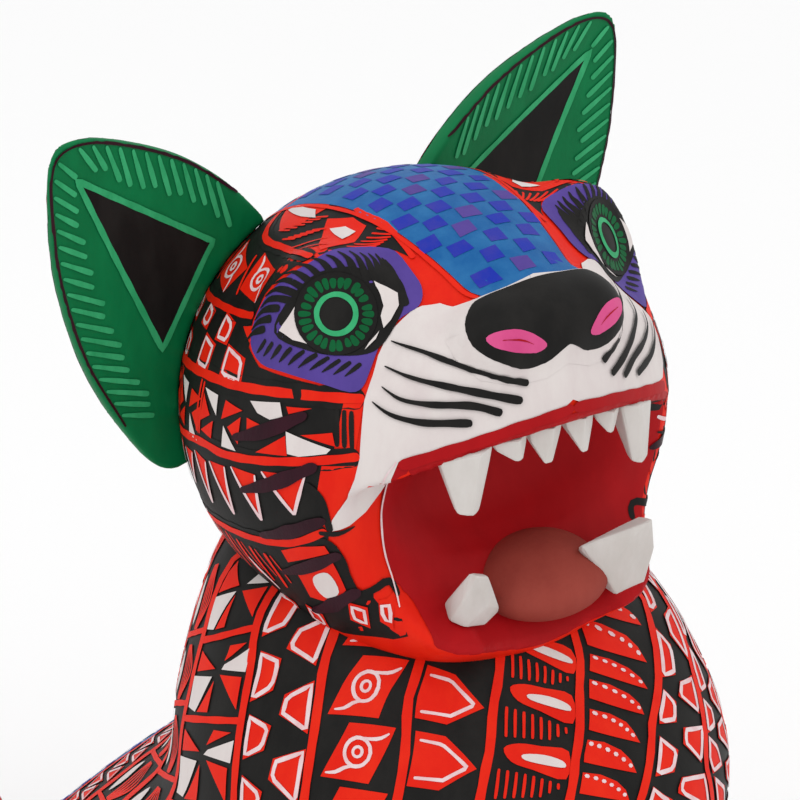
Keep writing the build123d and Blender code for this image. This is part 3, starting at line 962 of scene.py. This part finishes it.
def paint_mouth():
    """The inside of the mouth, cut off clean where it meets the face."""
    verts, faces = HEAD_MESH
    faces = faces[np.abs(mouth(verts[faces].mean(axis=1))) < NEAR_MOUTH]
    across, down = verts[faces[:, 2]] - verts[faces[:, 0]], verts[faces[:, 3]] - verts[faces[:, 1]]
    normals = np.zeros_like(verts)
    for corner in faces.T:
        np.add.at(normals, corner, np.cross(across, down))
    normals /= np.maximum(np.linalg.norm(normals, axis=1, keepdims=True), 1e-9)
    x, z = verts[:, 0], verts[:, 2]
    rim = np.where(x > 0, LEFT_RIM_X, np.interp(z, RIM_Z, RIM_X))
    beyond = np.maximum(mouth(verts) - np.interp(z, LIP_Z, LIP_OVER), np.abs(x) - rim)
    whole = (beyond[faces] < 0).all(axis=1)
    used = np.unique(faces[whole])
    lay("figure", "crimson", verts[used] + HEAD, normals[used], np.searchsorted(used, faces[whole]), 1)
    for face in faces[~whole & (beyond[faces] < 0).any(axis=1)]:
        cut = []
        for i, j in zip(face, np.roll(face, -1)):
            if beyond[i] < 0:
                cut.append([verts[i], normals[i]])
            if (beyond[i] < 0) != (beyond[j] < 0):
                t = beyond[i] / (beyond[i] - beyond[j])
                cut.append([v[i] + t * (v[j] - v[i]) for v in (verts, normals)])
        points, ways = (np.array(column) for column in zip(*cut))
        lay("figure", "crimson", points + HEAD, ways, [tuple(range(len(cut)))], 1)


def paint_crown():
    """The blue band over the head, edged in red and chequered."""
    edge = [(-11.6, 40), (-12.4, 46), (-14.2, 60), (-16, 76), (-17.2, 92), (-17.5, 130), (-17.5, 178)]
    fill(CROWN, edge + [(-x, v) for x, v in edge[::-1]], "blue", 2, 2.6)
    for side in (-1, 1):
        stroke(CROWN, [(side * (abs(x) + 0.7), v) for x, v in edge], 1.0, "red", 3)
    for row in range(30):
        v = 44 + row * 4.4
        half = np.interp(v, (38, 92), (11.6, 17.5))
        for column in range(-2, 3):
            x = column * 8 + (4 if row % 2 else 0)
            if abs(x) < half - 1.6:
                check = jog(np.array([(-2.1, -1.8), (1.9, -1.9), (2.1, 1.7), (-1.8, 1.8)]) + (x, v), 0.3)
                fill(CROWN, check, "purple" if (3 * row + column) % 4 == 0 else "indigo", 3)


def paint_nose():
    """The black nose on its white ground, and the pink nostrils."""
    ground = [(19.6, 1), (19.4, -4), (16.8, -8.6), (11.5, -11.8), (5, -12.4)]
    tip = [(7, 6), (11.5, 5.7), (14.2, 5), (17.1, 1.9), (17.6, -2.4), (15.2, -6.4), (10.5, -9.2),
           (5, -9.6), (1.9, -8.6)]
    nostril = [(15.8, -2.2), (13.5, -2.1), (9.9, -3.1), (6.3, -5.6), (5.2, -7.1), (7.6, -7.6),
               (11.8, -6.5), (15, -4.4)]

    def mirrored(points):
        return [(-x, w) for x, w in points[::-1]]

    fill(NOSE, ground + [(0, -11)] + mirrored(ground) + [(0, -2)], "white", 3, 1.2)
    fill(NOSE, smooth_line([(0, 6.3)] + tip + [(0, -8)] + mirrored(tip), 3, True), "black", 4, 1.2)
    for side in (-1, 1):
        fill(NOSE, smooth_line([(side * x, w) for x, w in nostril], 3, True), "pink", 5, 1.1)
        stroke(NOSE, [(side * 8, -6.2), (side * 10.4, -4.9), (side * 13.6, -3.8)], 0.3, "crimson", 6,
               ends=(0.2, 0.2))


paint_mouth()
for side in (-1, 1):
    skin = ball(side)
    if side > 0:
        left_jowl(skin)
    for paint_part in CHEEK:
        paint_part(skin)
    muzzle_white(skin, side)
    eye_patch(skin)
    whiskers(skin)
    lips(skin, side)
    paint_eye(side)
paint_crown()
paint_nose()


# ------------------------------------------------------------------ painting the body
def bow_ties(skin, y):
    """Red and white triangles meeting in a black waist, and a red bar below."""
    for shape, colour in (
            ([(-7.3, -6.2), (-1.2, -0.4), (-7.6, 0)], "red"), ([(2.4, -6.4), (7, -6), (1.2, -2.4)], "red"),
            ([(8, -4.4), (8, 1.2), (0.8, 0), (1.8, -1.6)], "white"),
            ([(-8.2, 1.2), (-1.2, 1.6), (-4.8, 11.4), (-7.6, 10.6)], "white"),
            ([(-0.4, 2.8), (-0.8, 11.4), (-4, 11.6)], "red"),
            ([(1.2, 1.6), (7.4, 2.4), (7, 10.6)], "red")):
        fill(skin, jog(np.array(shape) + (0, y)), colour, 2)
    stroke(skin, [(-9, y + 14), (9, y + 13.8)], 1.4, "red")


def blocks(skin, y):
    """Two staggered red blocks, a white line inside each."""
    for shape in ([(7.8, -6.2), (7.4, 6), (0.2, 1.4), (0.8, -3.6)],
                  [(-6.8, 0.8), (-1.2, 3.8), (-1.8, 10.4), (-7.2, 12.6)]):
        outlined(skin, jog(np.array(shape) + (0, y)), "red", width=0.9)


def eyes(skin, y):
    """A leaning red diamond with a ringed white eye and its two tails."""
    at = np.array((0, y))
    fill(skin, jog(at + [(-2.4, -6.2), (7, -6.2), (3.2, 6.4), (-6.6, 5.9)], 0.25), "red")
    stroke(skin, oval(2.5, 3.1, 14, at), 0.75, "stroke", closed=True, curve=False, step=0.7)
    stroke(skin, oval(0.9, 1.1, 14, at), 0.6, "stroke", closed=True, curve=False, step=0.5)
    tails = (at + [(0.4, -3), (2.6, -3), (4.2, -3.4), (5.8, -4.6)],
             at + [(-0.2, 3), (-1.8, 3.4), (-3.6, 4.6), (-5.6, 4.9)])
    strokes(skin, tails, 0.75, "stroke", ends=(0.8, 0.6))


def darts(skin, y):
    """A red dart pointing to the figure's left, with a white chevron open at the other end."""
    at = np.array((0, y))
    fill(skin, jog(at + [(-7, -5.4), (-0.6, -5.4), (6.8, 0), (-0.6, 6), (-7.6, 6)], 0.25), "red")
    stroke(skin, at + [(-6.2, -3.6), (-1.4, -3.6), (4.8, 0.2), (0, 3.8), (-6.4, 4.3)], 0.8, "stroke",
           curve=False, ends=(0.8, 0.8))


def tongues(skin, y):
    """A red tongue with a white oval on it, over an arch of fine upright hatching."""
    at = np.array((0, y))
    fill(skin, smooth_line(at + [(-6.4, -0.4), (-3.6, -2.6), (1, -3.6), (7.2, -4.4), (7.4, 3.2), (0.4, 3),
                                 (-4.4, 2.4)], 3, True), "red")
    fill(skin, smooth_line(at + [(-2.4, -0.2), (2, -1.6), (6.2, -1.4), (6.8, 0.2), (3.2, 0.9),
                                 (-1.8, 1.1)], 3, True), "white", 3)
    for i in range(8):
        x = -6.4 + i * 1.75
        foot = 11.4 - 0.28 * (x + 6.4) - (0.05 * x * x if x > 4 else 0)
        stroke(skin, at + [(x, 4.4 + 0.06 * abs(x)), (x + 0.2, foot)], 0.62, "red", curve=False)


def leaves(skin, y):
    """A half leaf, flat below, with a row of white dots along its back."""
    at = np.array((0, y))
    fill(skin, at + [(-7.2, -5.4), (-3.2, -6.1), (1, -5.3), (3.8, -3.4), (5.8, -0.4), (-7.2, 0.4)], "red")
    for i in range(6):
        x = -6.2 + i * 2
        fill(skin, oval(0.6, 0.6, 6, at + (x, -4.7 + 0.035 * (x + 5) ** 2)), "stroke", 2)


def lenses(skin, y):
    """A white lens on one side, fine lines gathering into the other, and a bar."""
    fill(skin, smooth_line([(-4.4, y - 7), (-2.4, y), (-4.4, y + 7), (-6.2, y)], 3, True), "white", 3)
    for i in range(5):
        stroke(skin, [(-1 + i * 0.5, y - 8.5), (-0.4 + i * 1.7, y), (-1 + i * 0.5, y + 8.5)], 0.6, "red")
    stroke(skin, [(-9, y + 10), (9, y + 9.4)], 1.2, "red")


def triangles(skin, y):
    """A zigzag of small outlined triangles."""
    for shape in ([(-7, -3.4), (2.6, -3.8), (-2.4, 3)], [(7, 4), (-2, 4.2), (3.4, -2.4)]):
        outlined(skin, jog(np.array(shape) + (0, y), 0.3), "red")


# Each band's motif, the distance from one to the next, and where the first stands
MOTIFS = [(triangles, 9.4, 2), (lenses, 20, 5), (lenses, 22, 2), (bow_ties, 23.5, 0.5),
          (blocks, 15.2, 4.8), (eyes, 14, 1.8), (darts, 14.2, 0.6), (tongues, 14.6, 8), (leaves, 8.7, 8),
          (blocks, 15.5, 5), (blocks, 13, 4), (lenses, 20, 5), (bow_ties, 23.5, 8), (blocks, 15.2, 5),
          (triangles, 9.4, 4), (lenses, 20, 6)]
EDGE_STRIP = 9            # degrees to either side of an edge that its red line is drawn in
SPINE = 154, 206          # angles of the blue band down the back
SPINE_SHORT = 48          # how far it ends above the seat
CHECK_PITCH = 4.6


def paint_bands():
    """Each band's motif, repeated down the body."""
    for first, last, (motif, pitch, phase) in zip(EDGES[:-1], EDGES[1:], MOTIFS):
        band = Band(first, last)
        y = band.top + (phase - band.top) % pitch
        while y < band.bottom - pitch * 0.6:
            motif(band, y + RNG.uniform(-0.25, 0.25))
            y += pitch


def paint_edges():
    """The red line down each edge between two bands."""
    for edge in EDGES:
        strip = Band(*[tuple(np.array(edge) + d) for d in (-EDGE_STRIP, EDGE_STRIP)])
        stroke(strip, [(0, strip.top), (0, strip.bottom)], 1.9, "red", step=4)


def paint_spine():
    """The blue band down the back, chequered like the crown."""
    spine = Band(*[(angle,) * 4 for angle in SPINE])
    end = spine.bottom - SPINE_SHORT
    fill(spine, [(-8.7, spine.top), (8.7, spine.top), (8.7, end), (-8.7, end)], "blue", 1, 1.1)
    for row in range(int((end - spine.top - 4) / CHECK_PITCH)):
        for column in range(-2, 3):
            x, y = column * 3.4 + (0.9 if row % 2 else -0.9), spine.top + 3 + row * CHECK_PITCH
            check = jog(np.array([(-0.7, -1.8), (0.6, -1.9), (0.7, 1.7), (-0.6, 1.8)]) + (x, y), 0.12)
            fill(spine, check, "indigo" if (row + column) % 3 else "purple", 3, 1)


paint_bands()
paint_edges()
paint_spine()

# ------------------------------------------------------------------ painting ears, legs and tail
EAR_INNER = np.array([(60.9, 50.4), (32.9, 32.5), (43.8, 14.4)])
EAR_RIM = smooth_line([(26, 42), (37, 50.6), (49, 56.6), (60, 60), (66.6, 59), (68.8, 54.4), (68.7, 45),
                       (67.2, 32), (62, 14.5), (53.5, -1.5)], 6)
EAR_HEART = EAR_INNER.mean(axis=0)
# Along the rim, the lengths of the strokes and the ways they point
RIM_LENGTHS = (0, 0.3, 0.42, 0.55, 0.8, 0.9, 1), (11, 9.5, 6.4, 8.4, 11, 12, 7)
RIM_WAYS = (0.3, 0.43, 0.6, 1), ((-0.3, -0.72, -0.87, -0.97), (-0.95, -0.69, -0.5, -0.26))


def facing(side, name, start, way):
    """One face of an ear by x and z, met by rays along Y."""
    def ray(x, z):
        return np.array((side * x, start, z)), np.array((0, way, 0))
    return Skin(ray, EAR_TREES[side], HEAD, f"{name}_ear")


def paint_ear_front(side, name):
    """The black hollow with its light line, and light strokes in from the rim."""
    skin = facing(side, name, -20.0, 1.0)
    fill(skin, EAR_HEART + (EAR_INNER - EAR_HEART) * 1.08, "black")
    stroke(skin, EAR_HEART + (EAR_INNER - EAR_HEART) * 1.13, 1.3, "light_green", closed=True, curve=False)
    run = run_along(EAR_RIM)
    for t in np.concatenate([np.linspace(0.06, 0.38, 12), np.linspace(0.43, 0.97, 18)]):
        start = np.array([np.interp(t * run[-1], run, column) for column in EAR_RIM.T])
        way = np.array([np.interp(t, RIM_WAYS[0], column) for column in RIM_WAYS[1]])
        length = np.interp(t, *RIM_LENGTHS) * RNG.uniform(0.85, 1.05)
        path = [start + way * 0.7, start + way * (0.7 + length)]
        stroke(skin, path, 1.05, "light_green", curve=False, ends=(0.7, 1.1))
    stroke(skin, EAR_RIM, 0.5, "maroon", curve=False)


def paint_ear_back(side, name):
    """Black with red loops and a hem of short red strokes."""
    skin = facing(side, name, 90.0, -1.0)
    reach = EAR_OUTLINE - EAR_HEART
    fill(skin, EAR_HEART + reach[::2] * 0.99, "black", 0, 2.2)
    for size in (0.94, 0.8, 0.6, 0.4):
        stroke(skin, (EAR_HEART + reach * size)[::3], 1.2, "red", closed=True, curve=False, step=2.5)
    for k in np.linspace(0, 1, 40)[:-1]:
        way = reach[int(k * len(reach))]
        stroke(skin, [EAR_HEART + way * 0.92, EAR_HEART + way * 0.84], 1.6, "red", curve=False)


THIGH = 74, 44          # y and z of its middle
THIGH_HALF = np.array((40, 38))
RING_GAP = 0.13         # from each ring on the thigh in to its blocks, in thighs
TAIL_TURN = 62.83       # map units right round the tail


def foreleg_chart(side):
    """A foreleg by angle round an upright line through it, and height."""
    def ray(angle, z):
        way = direction(angle, 0)
        return np.array((side * 27, -40, z)) + way * FAR, -way
    return Skin(ray, LEG_TREES["foreleg", side], ORIGIN, unit=0.24)


def paint_foreleg(side):
    """Red rings, and between them red blocks under red points."""
    leg = foreleg_chart(side)
    for z in (24, 52, 80, 108):
        stroke(leg, [(a, z) for a in np.arange(0, 360, 20)], 1.4, "red", closed=True, step=2)
        for a in range(0, 360, 40):
            outline = [(a - 13, z + 5), (a + 13, z + 4), (a + 10, z + 13), (a - 9, z + 14)]
            outlined(leg, outline, "red", width=0.8, layer=1, inset=0.25)
            fill(leg, [(a - 12, z + 17), (a + 12, z + 17), (a, z + 25)], "red", 2)


def hind_leg_chart(side):
    """The outside of a hind leg by y and z."""
    def ray(y, z):
        return np.array((side * 120, y, z)), np.array((-side * 1.0, 0, 0))
    return Skin(ray, LEG_TREES["hind_leg", side], ORIGIN)


def paint_hind_leg(side):
    """Three red rings on the thigh with blocks inside each, and a row of blocks along the foot."""
    skin = hind_leg_chart(side)
    for size, count in ((0.88, 20), (0.62, 13), (0.36, 7)):
        stroke(skin, oval(*THIGH_HALF * size, 24, THIGH), 1.5, "red", closed=True, step=2)
        for middle in oval(*THIGH_HALF * (size - RING_GAP), count, THIGH):
            block = jog(middle + [(-2.8, -3), (2.6, -2.6), (3, 2.8), (-2.4, 3)], 0.4)
            outlined(skin, block, "red", width=0.8)
    for y in range(-8, 34, 7):
        outlined(skin, jog([(y - 2.4, 4), (y + 2.4, 4), (y + 1.8, 10), (y - 1.8, 10)], 0.3), "red")


class TailChart(Chart):
    """Ten map units to a radian round the tail, and a row of TAIL_LINE to each unit along it."""
    body = "tail"

    def place(self, uv):
        uv = np.atleast_2d(uv)
        return tail_point(uv[:, 0] / 10 * 57.3, uv[:, 1])


def paint_tail():
    """Red rings with staggered blocks between them."""
    tail = TailChart()
    for row in range(8, 80, 5):
        stroke(tail, [(x, row) for x in np.linspace(0, TAIL_TURN, 25)], 1.3, "red", curve=False, step=2.5)
        for k in range(8):
            x = k * 7.854 + (3.9 if (row // 5) % 2 else 0)
            outline = [
                (x - 2.4, row + 0.9), (x + 2.4, row + 0.9), (x + 1.9, row + 4.1), (x - 1.9, row + 4.1)]
            outlined(tail, outline, "red", width=0.8)


for side, name in SIDES:
    paint_ear_front(side, name)
    paint_ear_back(side, name)
for side in (-1, 1):
    paint_foreleg(side)
    paint_hind_leg(side)
paint_tail()

for (body, colour), (verts, skin) in CANVAS.items():
    faces = [tuple(f) for part in skin for f in part]
    add_mesh(f"{body}_{colour}_brushwork", np.vstack(verts), faces, colour, body, offset=np.zeros(3))

# ------------------------------------------------------------------ studio
CAMERA_AZ, CAMERA_EL = -36, 24
CAMERA_DISTANCE = 0.9236
CAMERA_ASIDE = 4.8 * MM          # the picture's middle is this far to the left of the head's
SENSOR_MM = 36
PICTURE_WIDTHS = 5.7725          # focal length in widths of the picture
FLOOR_HALF = 3


def add_object(name, data, location=(0, 0, 0), facing_away=None):
    """A studio object, turned so that its back is to facing_away."""
    obj = bpy.data.objects.new(name, data)
    obj.location = location
    if facing_away is not None:
        obj.rotation_euler = facing_away.to_track_quat("Z", "Y").to_euler()
    bpy.context.scene.collection.objects.link(obj)
    return obj


def pale_floor():
    """A plain floor with a matt off-white surface."""
    mesh = bpy.data.meshes.new("studio_floor")
    corners = [(x * FLOOR_HALF, y * FLOOR_HALF, 0) for x, y in ((-1, -1), (1, -1), (1, 1), (-1, 1))]
    mesh.from_pydata(corners, [], [(0, 1, 2, 3)])
    pale = bpy.data.materials.new("pale_floor")
    pale.use_nodes = True
    shader = pale.node_tree.nodes["Principled BSDF"]
    shader.inputs["Base Color"].default_value = (0.93, 0.93, 0.93, 1)
    shader.inputs["Roughness"].default_value = 0.9
    mesh.materials.append(pale)
    return add_object("studio_floor", mesh)


def white_world():
    """Even white light from all round, shown without a film curve."""
    world = bpy.data.worlds.new("studio_world")
    world.use_nodes = True
    background = world.node_tree.nodes["Background"]
    background.inputs["Color"].default_value = (1, 1, 1, 1)
    background.inputs["Strength"].default_value = 1.0
    bpy.context.scene.world = world
    bpy.context.scene.view_settings.view_transform = "Standard"


def aim_camera():
    """A long lens from the figure's front right, a little above it."""
    toward = Vector(direction(CAMERA_AZ, CAMERA_EL))
    right = Vector(direction(CAMERA_AZ + 90, 0))
    data = bpy.data.cameras.new("camera")
    data.sensor_width = SENSOR_MM
    data.lens = PICTURE_WIDTHS * SENSOR_MM
    target = Vector(HEAD * MM) - right * CAMERA_ASIDE
    bpy.context.scene.camera = add_object("camera", data, target + toward * CAMERA_DISTANCE, toward)


def soft_light(name, azimuth, elevation, distance, size, power):
    """A square softbox aimed at the head."""
    data = bpy.data.lights.new(name, "AREA")
    data.size, data.energy = size, power
    way = Vector(direction(azimuth, elevation))
    add_object(name, data, Vector(HEAD * MM) + way * distance, way)


pale_floor()
white_world()
aim_camera()
soft_light("key", -60, 62, 1.0, 0.7, 1.8)
soft_light("fill", 20, 35, 1.1, 0.8, 0.5)
